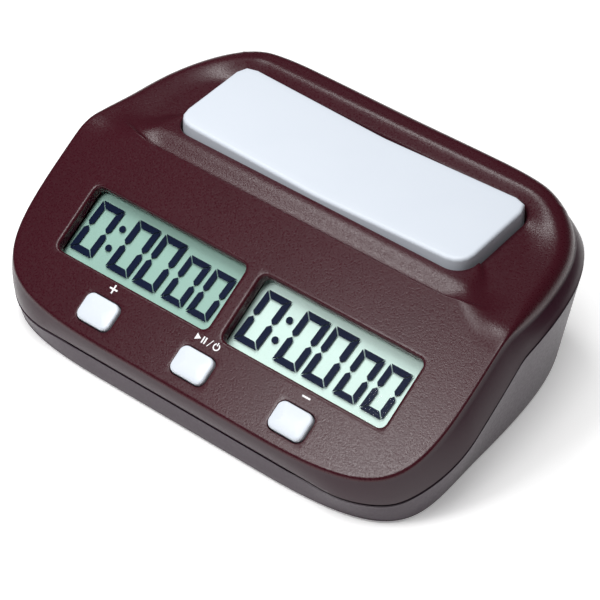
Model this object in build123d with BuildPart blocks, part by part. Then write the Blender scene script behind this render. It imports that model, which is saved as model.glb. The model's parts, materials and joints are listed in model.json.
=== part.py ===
from build123d import *
from math import cos, radians, sin, tan
import os

# A two-display tabletop chess clock: a wedge-shaped case with a sloping face, a see-saw
# lever along the top, three push buttons and a battery under the base.
# Millimetres, +X to the right, +Y to the back, +Z up. The origin lies on the table, under
# the middle of the case.

# ---------------------------------------------------------------- driving dimensions
overall_width = 150.0
overall_depth = 103.0
foot_drop = 1.0  # how far the rubber feet stand below the base

face_front_height = 14.3  # height of the face's front edge above the table
face_slope = 30.0  # degrees
face_length = 55.9  # along the slope, from the front edge to the crease
deck_height = 40.8  # flat top around the lever
wall = 2.2
edge_round = 2.6  # outer rounding between the top and the side band
face_bend_radius = 12.0

base_width = 138.8
base_front_inset = 0.8
base_back_inset = 4.5
base_step = 0.3  # how far the base's wall stands back from the top shell's
top_lean = 4.0  # how far the walls lean in above the joint, over the height to the lever
low_bends = (29.0, 47.0, -10.6, 25.8, 29.9, 20.3, 46.0)
belt_bends = (51.7, 23.7, -19.7, 9.2, 46.7, 24.5, 43.8)
parting_front_height = 8.3
parting_rise_start = 8.0  # from the front
parting_rise_end = 50.0
parting_back_height = 33.6
parting_gap = 0.6  # height of the shadow line between the shells
parting_depth = 0.7

window_width = 53.1
window_height = 20.8
window_gap = 4.9  # between the two openings
window_from_front = 17.9  # along the slope
window_corner = 2.0
window_collar = 1.2
lens_depth = 3.3  # from the face down to the clear lens
lens_thickness = 1.0
lens_overlap = 0.9

lcd_depth = 4.86  # from the face down to the display glass
lcd_thickness = 2.2
lcd_overlap = 0.95
holder_wall = 0.9
holder_rise = 1.4  # how far the holder's rim comes up beside the glass
strip_width = 2.0

board_depth = 9.0
board_thickness = 1.6
board_half_width = 59.0
board_front = 3.6
board_corner = 8.0  # cut off both front corners
board_back = 48.6

button_pitch = 32.9
button_from_front = 8.2
button_width = 11.1
button_height = 8.2
button_corner = 2.2
button_proud = 1.5
button_travel = 1.0
button_gap = 0.25
button_flange = 0.9
button_stem_radius = 1.8
stem_depth = 5.3  # from the face down to the stem's end

lever_length = 97.4
lever_front = 58.4  # from the front of the case
lever_depth = 31.2
lever_end_height = 45.0
lever_dip = 2.0  # how much lower the middle of the top is
lever_bottom_height = 36.6
lever_wall = 2.0
lever_round = 0.9
lever_front_corner = 5.5
lever_back_corner = 4.0
lever_gap = 0.7
lever_axle_height = 37.4
lever_axle_radius = 1.5
lever_hub_radius = 3.0
running_clearance = 0.05
plunger_offset = 32.0
plunger_radius = 2.2
plunger_swing = 1.0  # room in the well floor for the plunger's swing
plunger_bottom = 28.0
dome_radius = 5.0
dome_gap = 0.3
hub_offset = 8.0  # from the middle of the lever, front and back
hub_thickness = 3.0
ear_offset = 11.5
ear_thickness = 2.4
axle_half_length = 13.5
well_floor_top = 32.6
well_wall = 1.5

switch_board_top = 23.6
switch_board_length = 84.0
switch_board_depth = 20.0

battery_radius = 7.1
battery_length = 49.2
battery_y = 22.0  # behind the middle of the case
battery_floor_gap = 1.6  # between the floor's inside and the cell
nub_length = 1.3
contact_thickness = 0.5
cell_room_x = 29.6  # half length of the battery room
cell_room_y = 8.4
room_wall = 1.5
room_top = 17.0
door_plate_x = 30.0
door_flange_x = 31.6
door_gap = 0.3
rail_bottom = 4.3
rail_thickness = 1.2
rail_outer_x = 33.4

foot_radius = 4.0
foot_recess = 0.8
case_screw_radius = 1.2
case_screw_head_radius = 2.3
case_boss_radius = 2.9
case_screw_sink = 1.7
case_screw_bite = 7.0
case_boss_split = 12.0  # height where the two shells' bosses meet
buzzer_radius = 9.0
board_screw_radius = 0.9
board_screw_head_radius = 1.7
board_boss_radius = 2.0

# ---------------------------------------------------------------- derived frames
front_y = -overall_depth / 2
back_y = overall_depth / 2
half_width = overall_width / 2
front_lean = base_front_inset * parting_back_height / (face_front_height - foot_drop)
floor_bottom = foot_drop
floor_top = foot_drop + wall
slope = radians(face_slope)
face_plane = Plane(
    origin=(0, front_y, face_front_height), x_dir=(1, 0, 0), z_dir=(0, -sin(slope), cos(slope))
)
crease_y = front_y + face_length * cos(slope)
crease_z = face_front_height + face_length * sin(slope)
lever_y = front_y + lever_front + lever_depth / 2
display_x = (window_width + window_gap) / 2
display_v = window_from_front + window_height / 2
lcd_width = window_width + 2 * lcd_overlap
lcd_height = window_height + 4 * lcd_overlap
holder_width = lcd_width + 2 * holder_wall
holder_height = lcd_height + 2 * holder_wall
case_screw_places = [(-64.0, front_y + 22), (64.0, front_y + 22), (-57.0, back_y - 23), (57.0, back_y - 23)]
foot_places = [(-54.0, front_y + 13), (54.0, front_y + 13), (-45.0, back_y - 13), (45.0, back_y - 13)]
board_screw_places = [(-button_pitch / 2, button_from_front), (button_pitch / 2, button_from_front)]
board_screw_places += [(-30.0, board_back - 3.0), (30.0, board_back - 3.0)]
switch_post_places = [(-20.0, lever_y), (20.0, lever_y)]
button_places = (-button_pitch, 0.0, button_pitch)
battery_z = floor_top + battery_floor_gap + battery_radius
door_front_y = battery_y - cell_room_y - 1.0
lever_rise = lever_dip * (1 - 2 * lever_wall / lever_length)
plunger_top = lever_end_height - lever_dip - lever_wall / 2 + 2 * lever_dip * plunger_offset / lever_length
buzzer_place = (48.0, -8.0)


def face_height(y, drop=0.0):
    """Height of the sloping face at y, moved down square to the face by drop."""
    return face_front_height + (y - front_y) * tan(slope) - drop / cos(slope)


def case_outline(half, y_front, y_back, bends):
    """Plan of the case: straight front and back, joined on each side by two curves that meet where it is widest."""
    front_end, front_pull, widest, widest_front_pull, widest_back_pull, back_pull, back_end = bends
    with BuildSketch() as plan:
        with BuildLine():
            Line((0, y_front), (front_end, y_front))
            Bezier(
                (front_end, y_front), (front_end + front_pull, y_front), (half, widest - widest_front_pull), (half, widest)
            )
            Bezier((half, widest), (half, widest + widest_back_pull), (back_end + back_pull, y_back), (back_end, y_back))
            Line((back_end, y_back), (0, y_back))
            mirror(about=Plane.YZ)
        make_face()
    return plan.sketch


def case_form(inset):
    """The case's outer form without its top, each wall moved in by inset."""
    low_front = front_y + base_front_inset + inset
    high_front = low_front - front_lean
    with BuildPart() as form:
        with BuildSketch(Plane.XY.offset(floor_bottom)):
            add(case_outline(base_width / 2 - inset, low_front, back_y - base_back_inset - inset, low_bends))
        with BuildSketch(Plane.XY.offset(parting_back_height + 1.0)):
            add(case_outline(half_width - inset, high_front, back_y - inset, belt_bends))
        with BuildSketch(Plane.XY.offset(deck_height + 8.0)):
            add(case_outline(half_width - top_lean - inset, high_front, back_y - top_lean - inset, belt_bends))
        loft(ruled=True)
    return form.part


def under_top(drop, bottom):
    """Everything from bottom up to the sloping face and the flat deck, both moved down by drop."""
    top = deck_height - drop
    reach = overall_width
    bend_y = front_y + (top + drop / cos(slope) - face_front_height) / tan(slope)
    with BuildPart() as under:
        with BuildSketch(Plane.YZ):
            with BuildLine():
                Polyline(
                    (front_y - 10, face_height(front_y - 10, drop)),
                    (bend_y, top),
                    (back_y + 10, top),
                    (back_y + 10, bottom),
                    (front_y - 10, bottom),
                    close=True,
                )
            make_face()
            fillet(vertices().filter_by(lambda v: abs(v.X - bend_y) < 0.01), face_bend_radius)
        extrude(amount=reach, both=True)
    return under.part


def crease_lip():
    """The ridge in front of the lever: the face runs on to a crease, then scoops down to the deck."""
    scoop_end = front_y + lever_front - 1.2
    with BuildPart() as lip:
        with BuildSketch(Plane.YZ):
            with BuildLine():
                low = Line((crease_y - 14, face_height(crease_y - 14)), (crease_y, crease_z))
                ThreePointArc(
                    (crease_y, crease_z),
                    ((crease_y + scoop_end) / 2 - 0.6, (crease_z + deck_height) / 2 - 0.55),
                    (scoop_end, deck_height),
                )
                Line((scoop_end, deck_height), (scoop_end, deck_height - 9))
                Line((scoop_end, deck_height - 9), low @ 0)
            make_face()
        extrude(amount=62, both=True)
        with BuildSketch(Plane.XY.offset(deck_height - 20)):
            with Locations((0, crease_y)):
                RectangleRounded(124, 44, 11)
        extrude(amount=40, mode=Mode.INTERSECT)
    return lip.part


def above_parting(drop):
    """Everything above the surface where the two shells meet, that surface moved down by drop."""
    with BuildPart() as above:
        with BuildSketch(Plane.YZ):
            with BuildLine():
                Polyline(
                    (front_y - 10, parting_front_height - drop),
                    (front_y + parting_rise_start, parting_front_height - drop),
                    (front_y + parting_rise_end, parting_back_height - drop),
                    (back_y + 10, parting_back_height - drop),
                    (back_y + 10, deck_height + 30),
                    (front_y - 10, deck_height + 30),
                    close=True,
                )
            make_face()
        extrude(amount=overall_width, both=True)
    return above.part


def lever_outline(extra):
    """Plan of the lever, each side moved out by extra."""
    width = lever_length + 2 * extra
    depth = lever_depth + 2 * extra
    with BuildSketch() as plan:
        with Locations((0, lever_y)):
            Rectangle(width, depth)
        fillet(plan.vertices().group_by(Axis.Y)[0], lever_front_corner + extra)
        fillet(plan.vertices().group_by(Axis.Y)[-1], lever_back_corner + extra)
    return plan.sketch


def vertical_cylinders(places, radius, low, high):
    """Upright cylinders, one at each place."""
    with BuildPart() as pins:
        with BuildSketch(Plane.XY.offset(low)):
            with Locations(places):
                Circle(radius)
        extrude(amount=high - low)
    return pins.part


def face_cylinders(places, radius, low, high):
    """Cylinders square to the face, between two depths below it."""
    with BuildPart() as pins:
        with BuildSketch(face_plane.offset(-low)):
            with Locations(places):
                Circle(radius)
        extrude(amount=low - high)
    return pins.part


def finish(piece, name):
    piece.part.label = name
    export_step(piece.part, f"parts/{name}.step")


os.makedirs("parts", exist_ok=True)

# ---------------------------------------------------------------- shared solids
outer = case_form(0)
inner = case_form(wall)
groove_core = case_form(parting_depth)
top_limit = under_top(0, -1)
inner_limit = under_top(wall, floor_top)
lip = crease_lip()
upper_half = above_parting(0)
upper_half_and_gap = above_parting(parting_gap)

cavity = inner & inner_limit
shell_block = outer & top_limit
base_block = case_form(base_step) & top_limit

# ---------------------------------------------------------------- top shell
with BuildPart() as top_shell:
    add(shell_block)
    add(lip)
    add(upper_half, mode=Mode.INTERSECT)
    add(cavity, mode=Mode.SUBTRACT)
    # window collars, down to the clear lenses
    with BuildSketch(face_plane.offset(-lens_depth)):
        with Locations((-display_x, display_v), (display_x, display_v)):
            Rectangle(window_width + 2 * window_collar, window_height + 2 * window_collar)
    extrude(amount=lens_depth - 1.0)
    with BuildSketch(face_plane.offset(-lens_depth - 1)):
        with Locations((-display_x, display_v), (display_x, display_v)):
            RectangleRounded(window_width, window_height, window_corner)
    extrude(amount=lens_depth + 6, mode=Mode.SUBTRACT)
    # button openings
    with BuildSketch(face_plane.offset(-wall - 3)):
        with Locations(*[(x, button_from_front) for x in button_places]):
            RectangleRounded(
                button_width + 2 * button_gap, button_height + 2 * button_gap, button_corner + button_gap
            )
    extrude(amount=wall + 8, mode=Mode.SUBTRACT)
    # the well under the lever, with a floor the two plungers pass through
    with BuildSketch(Plane.XY.offset(well_floor_top - well_wall)):
        add(lever_outline(lever_gap + well_wall))
    extrude(amount=deck_height - 1.0 - well_floor_top + well_wall)
    with BuildSketch(Plane.XY.offset(well_floor_top)):
        add(lever_outline(lever_gap))
    extrude(amount=20, mode=Mode.SUBTRACT)
    with BuildSketch(Plane.XY.offset(well_floor_top - 10)):
        with Locations((-plunger_offset, lever_y), (plunger_offset, lever_y)):
            Circle(plunger_radius + plunger_swing)
    extrude(amount=20, mode=Mode.SUBTRACT)
    # ears that hold the lever's axle
    for ear_y in (lever_y - ear_offset, lever_y + ear_offset):
        with BuildSketch(Plane.XZ.offset(-ear_y - ear_thickness / 2)):
            with Locations((0, lever_axle_height)):
                Circle(lever_hub_radius)
            with Locations((0, (lever_axle_height + well_floor_top) / 2)):
                Rectangle(2 * lever_hub_radius, lever_axle_height - well_floor_top + 0.2)
            with Locations((0, lever_axle_height)):
                Circle(lever_axle_radius, mode=Mode.SUBTRACT)
        extrude(amount=ear_thickness)
    # posts for the switch board
    add(vertical_cylinders(switch_post_places, board_boss_radius, switch_board_top, well_floor_top - 0.2))
    # posts for the main board
    add(face_cylinders(board_screw_places, board_boss_radius, board_depth, wall - 0.4))
    # bosses for the case screws
    add(vertical_cylinders(case_screw_places, case_boss_radius, case_boss_split, 60) & cavity)
    add(face_cylinders(board_screw_places, board_screw_radius, board_depth + 1, wall + 1.5), mode=Mode.SUBTRACT)
    add(
        vertical_cylinders(
            switch_post_places, board_screw_radius, switch_board_top - 1, switch_board_top + 5
        ),
        mode=Mode.SUBTRACT,
    )
    add(
        vertical_cylinders(
            case_screw_places, case_screw_radius, case_boss_split - 1, case_boss_split + case_screw_bite
        ),
        mode=Mode.SUBTRACT,
    )
finish(top_shell, "top_shell")

# ---------------------------------------------------------------- base shell
with BuildPart() as base_shell:
    add(base_block - upper_half_and_gap)
    add((groove_core & shell_block & upper_half_and_gap) - upper_half)
    add(cavity, mode=Mode.SUBTRACT)
    add(vertical_cylinders(case_screw_places, case_boss_radius, floor_top - 0.5, case_boss_split) & base_block)
    # battery compartment, open to the door
    with BuildSketch(Plane.XY.offset(rail_bottom)):
        with Locations((0, battery_y)):
            Rectangle(2 * cell_room_x + 2 * room_wall, 2 * cell_room_y + 2 * room_wall)
            Rectangle(2 * cell_room_x, 2 * cell_room_y, mode=Mode.SUBTRACT)
    extrude(amount=room_top - rail_bottom)
    with BuildSketch(Plane.XY.offset(floor_top - 0.5)):
        with Locations((0, battery_y - cell_room_y - room_wall / 2)):
            Rectangle(2 * cell_room_x + 2 * room_wall, room_wall)
    extrude(amount=rail_bottom - floor_top + 0.6)
    # rails over the door's two long edges
    with BuildSketch(Plane.XY.offset(floor_top - 0.5)):
        with Locations((0, (door_front_y + back_y) / 2)):
            Rectangle(2 * rail_outer_x, back_y - door_front_y)
            Rectangle(2 * (door_flange_x + door_gap), back_y - door_front_y, mode=Mode.SUBTRACT)
    extrude(amount=rail_bottom + rail_thickness - floor_top + 0.5)
    with BuildSketch(Plane.XY.offset(rail_bottom)):
        with Locations((0, (door_front_y + back_y) / 2)):
            Rectangle(2 * rail_outer_x, back_y - door_front_y)
            Rectangle(2 * door_plate_x, back_y - door_front_y, mode=Mode.SUBTRACT)
    extrude(amount=rail_thickness)
    add(base_block, mode=Mode.INTERSECT)
    # the way the door slides along
    with BuildSketch(Plane.XY.offset(-1)):
        with Locations((0, (door_front_y - door_gap + back_y + 5) / 2)):
            Rectangle(2 * (door_plate_x + door_gap), back_y + 5 - door_front_y + door_gap)
    extrude(amount=floor_top + 1.05, mode=Mode.SUBTRACT)
    with BuildSketch(Plane.XY.offset(floor_top)):
        with Locations((0, (door_front_y - door_gap + back_y + 5) / 2)):
            Rectangle(2 * (door_flange_x + door_gap), back_y + 5 - door_front_y + door_gap)
    extrude(amount=rail_bottom - floor_top, mode=Mode.SUBTRACT)
    # feet, screw heads and screw holes
    add(vertical_cylinders(foot_places, foot_radius, floor_bottom - 1, floor_bottom + foot_recess), mode=Mode.SUBTRACT)
    add(
        vertical_cylinders(
            case_screw_places, case_screw_head_radius, floor_bottom - 1, floor_bottom + case_screw_sink
        ),
        mode=Mode.SUBTRACT,
    )
    add(
        vertical_cylinders(case_screw_places, case_screw_radius, floor_bottom - 1, case_boss_split + 1),
        mode=Mode.SUBTRACT,
    )
    # ring that holds the buzzer
    with BuildSketch(Plane.XY.offset(floor_top - 0.5)):
        with Locations(buzzer_place):
            Circle(buzzer_radius + 1.2)
            Circle(buzzer_radius, mode=Mode.SUBTRACT)
    extrude(amount=3.0)
    with BuildSketch(Plane.XY.offset(floor_bottom - 1)):
        with Locations(buzzer_place):
            with PolarLocations(4.0, 6):
                Circle(0.8)
    extrude(amount=wall + 2, mode=Mode.SUBTRACT)
finish(base_shell, "base_shell")

# ---------------------------------------------------------------- lever
with BuildPart() as lever:
    with BuildSketch(Plane.XY.offset(lever_bottom_height)):
        add(lever_outline(0))
    extrude(amount=lever_end_height - lever_bottom_height)
    # the top falls from both ends to the middle
    with BuildSketch(Plane.XZ.offset(-back_y)):
        with BuildLine():
            Polyline(
                (-lever_length, lever_end_height + lever_dip),
                (0, lever_end_height - lever_dip),
                (lever_length, lever_end_height + lever_dip),
                (lever_length, lever_end_height + 20),
                (-lever_length, lever_end_height + 20),
                close=True,
            )
        make_face()
    extrude(amount=overall_depth, mode=Mode.SUBTRACT)
    top_faces = lever.faces().filter_by(lambda f: f.center().Z > lever_end_height - 1.6)
    fillet(top_faces.edges().filter_by(lambda e: abs(e.center().X) > 1), lever_round)
    # hollow underneath
    with BuildSketch(Plane.XZ.offset(-lever_y - lever_depth / 2 + lever_wall)):
        with BuildLine():
            Polyline(
                (-lever_length / 2 + lever_wall, lever_end_height - lever_dip - lever_wall + lever_rise),
                (0, lever_end_height - lever_dip - lever_wall),
                (lever_length / 2 - lever_wall, lever_end_height - lever_dip - lever_wall + lever_rise),
                (lever_length / 2 - lever_wall, lever_bottom_height - 1),
                (-lever_length / 2 + lever_wall, lever_bottom_height - 1),
                close=True,
            )
        make_face()
    extrude(amount=lever_depth - 2 * lever_wall, mode=Mode.SUBTRACT)
    # hubs on the axle
    for hub_y in (lever_y - hub_offset, lever_y + hub_offset):
        with BuildSketch(Plane.XZ.offset(-hub_y - hub_thickness / 2)):
            with Locations((0, lever_axle_height)):
                Circle(lever_hub_radius)
            with Locations((0, (lever_axle_height + lever_end_height - lever_dip - 1) / 2)):
                Rectangle(2 * lever_hub_radius, lever_end_height - lever_dip - 1 - lever_axle_height)
            with Locations((0, lever_axle_height)):
                Circle(lever_axle_radius + running_clearance, mode=Mode.SUBTRACT)
        extrude(amount=hub_thickness)
    # plungers
    with BuildSketch(Plane.XY.offset(plunger_bottom)):
        with Locations((-plunger_offset, lever_y), (plunger_offset, lever_y)):
            Circle(plunger_radius)
    extrude(amount=plunger_top - plunger_bottom)
finish(lever, "lever")

with BuildPart() as lever_axle:
    with BuildSketch(Plane.XZ.offset(-lever_y - axle_half_length)):
        with Locations((0, lever_axle_height)):
            Circle(lever_axle_radius)
    extrude(amount=2 * axle_half_length)
    chamfer(lever_axle.edges().filter_by(GeomType.CIRCLE), 0.25)
finish(lever_axle, "lever_axle")

# ---------------------------------------------------------------- switch board under the lever
with BuildPart() as switch_board:
    with BuildSketch(Plane.XY.offset(switch_board_top - board_thickness)):
        with Locations((0, lever_y)):
            RectangleRounded(switch_board_length, switch_board_depth, 1.5)
        with Locations(*switch_post_places):
            Circle(board_screw_radius, mode=Mode.SUBTRACT)
    extrude(amount=board_thickness)
finish(switch_board, "switch_board")

for side, name in ((-1, "lever_dome_left"), (1, "lever_dome_right")):
    with BuildPart() as dome:
        with BuildSketch(Plane.XY.offset(switch_board_top)):
            with Locations((side * plunger_offset, lever_y)):
                Circle(dome_radius)
        extrude(amount=0.8)
        with BuildSketch(Plane.XY.offset(switch_board_top + 0.8)):
            with Locations((side * plunger_offset, lever_y)):
                Circle(dome_radius - 1.2)
        extrude(amount=plunger_bottom - dome_gap - switch_board_top - 0.8, taper=24)
    finish(dome, name)

# ---------------------------------------------------------------- main board, displays
with BuildPart() as main_board:
    with BuildSketch(face_plane.offset(-board_depth - board_thickness)):
        with Locations((0, (board_front + board_back) / 2)):
            outline = Rectangle(2 * board_half_width, board_back - board_front)
        chamfer(outline.vertices().group_by(Axis.Y)[0], board_corner)
        with Locations(*board_screw_places):
            Circle(board_screw_radius, mode=Mode.SUBTRACT)
    extrude(amount=board_thickness)
finish(main_board, "main_board")

for side, name in ((-1, "left"), (1, "right")):
    middle = (side * display_x, display_v)
    with BuildPart() as lens:
        with BuildSketch(face_plane.offset(-lens_depth - lens_thickness)):
            with Locations(middle):
                Rectangle(window_width + 2 * lens_overlap, window_height + 2 * lens_overlap)
        extrude(amount=lens_thickness)
    finish(lens, f"display_lens_{name}")
    with BuildPart() as lcd:
        with BuildSketch(face_plane.offset(-lcd_depth - lcd_thickness)):
            with Locations(middle):
                Rectangle(lcd_width, lcd_height)
        extrude(amount=lcd_thickness)
    finish(lcd, f"lcd_{name}")
    with BuildPart() as holder:
        with BuildSketch(face_plane.offset(-board_depth)):
            with Locations(middle):
                Rectangle(holder_width, holder_height)
                Rectangle(lcd_width - 2, lcd_height - 2, mode=Mode.SUBTRACT)
        extrude(amount=board_depth - lcd_depth - lcd_thickness)
        with BuildSketch(face_plane.offset(-lcd_depth - lcd_thickness)):
            with Locations(middle):
                Rectangle(holder_width, holder_height)
                Rectangle(lcd_width + 0.1, lcd_height + 0.1, mode=Mode.SUBTRACT)
        extrude(amount=holder_rise)
    finish(holder, f"lcd_holder_{name}")
    with BuildPart() as strips:
        with BuildSketch(face_plane.offset(-board_depth)):
            with Locations(middle):
                with GridLocations(0, lcd_height - 2 - strip_width, 1, 2):
                    Rectangle(lcd_width - 4, strip_width)
        extrude(amount=board_depth - lcd_depth - lcd_thickness)
    finish(strips, f"contact_strips_{name}")

# ---------------------------------------------------------------- buttons and their domes
flange_depth = wall + 0.15
for x, name in zip(button_places, ("plus", "play", "minus")):
    middle = (x, button_from_front)
    with BuildPart() as button:
        with BuildSketch(face_plane.offset(-flange_depth - 0.1)):
            with Locations(middle):
                RectangleRounded(button_width, button_height, button_corner)
        extrude(amount=flange_depth + 0.1 + button_proud)
        fillet(button.faces().sort_by(Axis(face_plane.origin, face_plane.z_dir))[-1].edges(), 0.6)
        with BuildSketch(face_plane.offset(-flange_depth)):
            with Locations(middle):
                Rectangle(button_width + 2 * button_flange, button_height + 2 * button_flange)
        extrude(amount=-0.9)
        with BuildSketch(face_plane.offset(-stem_depth)):
            with Locations(middle):
                Circle(button_stem_radius)
        extrude(amount=stem_depth - flange_depth)
    finish(button, f"button_{name}")
    with BuildPart() as dome:
        with BuildSketch(face_plane.offset(-board_depth)):
            with Locations(middle):
                Circle(4.2)
        extrude(amount=0.7)
        with BuildSketch(face_plane.offset(-board_depth + 0.7)):
            with Locations(middle):
                Circle(3.2)
        extrude(amount=board_depth - 0.7 - stem_depth - dome_gap, taper=24)
    finish(dome, f"button_dome_{name}")

# ---------------------------------------------------------------- parts on the main board
with BuildPart() as chip:
    with BuildSketch(face_plane.offset(-board_depth - board_thickness - 0.1)):
        with Locations((0, 26)):
            RectangleRounded(12, 12, 0.5)
    extrude(amount=-1.6)
    with BuildSketch(face_plane.offset(-board_depth - board_thickness)):
        with Locations((0, 26)):
            with GridLocations(14, 1.2, 2, 8):
                Rectangle(2.6, 0.5)
            with GridLocations(1.2, 14, 8, 2):
                Rectangle(0.5, 2.6)
    extrude(amount=-0.5)
finish(chip, "controller_chip")

with BuildPart() as crystal:
    with BuildSketch(face_plane.offset(-board_depth - board_thickness)):
        with Locations((16, 26)):
            SlotOverall(8, 3)
    extrude(amount=-3)
finish(crystal, "timing_crystal")

with BuildPart() as buzzer:
    with BuildSketch(Plane.XY.offset(floor_top)):
        with Locations(buzzer_place):
            Circle(buzzer_radius)
    extrude(amount=4.5)
    fillet(buzzer.faces().sort_by(Axis.Z)[-1].edges(), 0.5)
finish(buzzer, "buzzer")

# ---------------------------------------------------------------- battery and its contacts
cell_end = cell_room_x - contact_thickness
with BuildPart() as cell:
    with BuildSketch(Plane.YZ.offset(cell_end - nub_length - battery_length)):
        with Locations((battery_y, battery_z)):
            Circle(battery_radius)
    extrude(amount=battery_length)
    fillet(cell.edges().filter_by(GeomType.CIRCLE), 0.5)
    with BuildSketch(Plane.YZ.offset(cell_end - nub_length)):
        with Locations((battery_y, battery_z)):
            Circle(2.7)
    extrude(amount=nub_length)
finish(cell, "battery_cell")

with BuildPart() as plate_contact:
    with BuildSketch(Plane.YZ.offset(cell_room_x - contact_thickness)):
        with Locations((battery_y, battery_z)):
            Rectangle(9, 9)
    extrude(amount=contact_thickness)
finish(plate_contact, "battery_plate_contact")

with BuildPart() as spring_contact:
    with BuildSketch(Plane.YZ.offset(-cell_room_x)):
        with Locations((battery_y, battery_z)):
            Rectangle(11, 11)
    extrude(amount=contact_thickness)
    spring_start = -cell_room_x + contact_thickness + 0.3
    spring_reach = cell_end - nub_length - battery_length - 0.4 - spring_start
    with BuildLine() as coil:
        Helix(
            pitch=spring_reach / 4,
            height=spring_reach,
            radius=4.4,
            center=(spring_start, battery_y, battery_z),
            direction=(1, 0, 0),
            cone_angle=-12,
        )
    with BuildSketch(Plane(origin=coil.line @ 0, z_dir=coil.line % 0)):
        Circle(0.4)
    sweep(path=coil.line, is_frenet=True)
finish(spring_contact, "battery_spring_contact")

# ---------------------------------------------------------------- battery door
with BuildPart() as battery_door:
    with BuildSketch(Plane.XY.offset(floor_bottom)):
        with Locations((0, (door_front_y + back_y) / 2)):
            Rectangle(2 * door_plate_x, back_y - door_front_y)
    extrude(amount=wall + 0.1)
    with BuildSketch(Plane.XY.offset(floor_top + 0.1)):
        with Locations((0, (door_front_y + back_y) / 2)):
            Rectangle(2 * door_flange_x, back_y - door_front_y)
    extrude(amount=rail_bottom - floor_top - 0.2)
    add(base_block, mode=Mode.INTERSECT)
    # thumb ribs
    with BuildSketch(Plane.XY.offset(floor_bottom)):
        with Locations((0, back_y - 16)):
            with GridLocations(0, 1.8, 1, 5):
                SlotOverall(14, 0.9)
    extrude(amount=0.5, mode=Mode.SUBTRACT)
finish(battery_door, "battery_door")

# ---------------------------------------------------------------- feet and screws
foot_names = ("foot_front_left", "foot_front_right", "foot_back_left", "foot_back_right")
for place, name in zip(foot_places, foot_names):
    with BuildPart() as foot:
        with BuildSketch(Plane.XY):
            with Locations(place):
                Circle(foot_radius)
        extrude(amount=floor_bottom + foot_recess)
        fillet(foot.faces().sort_by(Axis.Z)[0].edges(), 0.3)
    finish(foot, name)

with BuildPart() as case_screws:
    add(
        vertical_cylinders(
            case_screw_places, case_screw_head_radius - 0.2, floor_bottom + 0.3, floor_bottom + case_screw_sink
        )
    )
    add(
        vertical_cylinders(
            case_screw_places,
            case_screw_radius,
            floor_bottom + case_screw_sink - 0.1,
            case_boss_split + case_screw_bite - 1,
        )
    )
    with BuildSketch(Plane.XY.offset(floor_bottom)):
        with Locations(*case_screw_places):
            Rectangle(2.2, 0.5)
            Rectangle(0.5, 2.2)
    extrude(amount=0.9, mode=Mode.SUBTRACT)
finish(case_screws, "case_screws")

with BuildPart() as main_board_screws:
    under = board_depth + board_thickness
    add(face_cylinders(board_screw_places, board_screw_head_radius, under + 1.1, under))
    add(face_cylinders(board_screw_places, board_screw_radius, under + 0.5, wall + 2.5))
finish(main_board_screws, "main_board_screws")

with BuildPart() as switch_board_screws:
    under = switch_board_top - board_thickness
    add(vertical_cylinders(switch_post_places, board_screw_head_radius, under - 1.1, under))
    add(vertical_cylinders(switch_post_places, board_screw_radius, under - 0.5, switch_board_top + 4))
finish(switch_board_screws, "switch_board_screws")
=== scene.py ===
import json
import math

import bpy
import numpy as np
from bpy.props import FloatProperty, PointerProperty
from mathutils import Matrix, Vector


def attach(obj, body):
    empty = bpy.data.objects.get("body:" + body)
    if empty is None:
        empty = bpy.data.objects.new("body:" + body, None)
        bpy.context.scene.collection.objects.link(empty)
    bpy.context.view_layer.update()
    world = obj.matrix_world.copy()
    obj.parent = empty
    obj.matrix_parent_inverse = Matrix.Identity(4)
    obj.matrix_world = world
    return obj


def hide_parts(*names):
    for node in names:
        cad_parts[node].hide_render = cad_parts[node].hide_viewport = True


bl_info = {
    "name": "Chess Clock Builder",
    "version": (1, 0, 0),
    "blender": (4, 5, 0),
    "location": "View3D > Sidebar > Chess Clock",
    "description": "Builds the case, lever, buttons, displays and prints of a tabletop chess clock",
    "category": "Add Mesh",
}

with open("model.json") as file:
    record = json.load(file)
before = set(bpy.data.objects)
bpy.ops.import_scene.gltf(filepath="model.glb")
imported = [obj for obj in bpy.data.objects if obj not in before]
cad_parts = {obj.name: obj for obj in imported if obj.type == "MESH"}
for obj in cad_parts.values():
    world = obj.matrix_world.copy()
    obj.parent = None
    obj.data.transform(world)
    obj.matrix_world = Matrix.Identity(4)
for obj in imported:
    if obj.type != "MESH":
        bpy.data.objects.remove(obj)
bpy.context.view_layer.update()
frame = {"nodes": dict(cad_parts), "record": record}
MM = 0.001

# The sloping face: its front edge, its slope, and the unit vectors up the slope and out of it.
FACE_FRONT_Y = -51.5
FACE_FRONT_Z = 14.3
FACE_SLOPE = math.radians(30.1)
UP_SLOPE = np.array([0.0, math.cos(FACE_SLOPE), math.sin(FACE_SLOPE)])
FACE_OUT = np.array([0.0, -math.sin(FACE_SLOPE), math.cos(FACE_SLOPE)])
HUB_Y = -3.0  # plan curves are read by their angle about (0, HUB_Y)

# Places on the face are (x, v): across, and up the slope from its front edge. All in millimetres.
WINDOW_X, WINDOW_V = 29.05, 28.3
BUTTON_SPACING, BUTTON_V = 32.9, 8.2
SIGN_V = 15.6
LEVER_MIDDLE = (0.0, 22.5)
SHELL_GAP = 0.6  # open groove between the shells
DOOR_SLOT_HALF = 31.9
DOOR_TOP = 4.4
BASE_FOOT_Z = 0.985  # just under the CAD base's underside, so that the skin covers its edge


# ---------------------------------------------------------------- curves and heights


def bezier(p0, p1, p2, p3, count=160):
    """Cubic Bezier through p0 and p3 with handles p1 and p2."""
    t = np.linspace(0.0, 1.0, count)[:, None]
    return (1 - t) ** 3 * p0 + 3 * (1 - t) ** 2 * t * p1 + 3 * (1 - t) * t**2 * p2 + t**3 * p3


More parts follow.
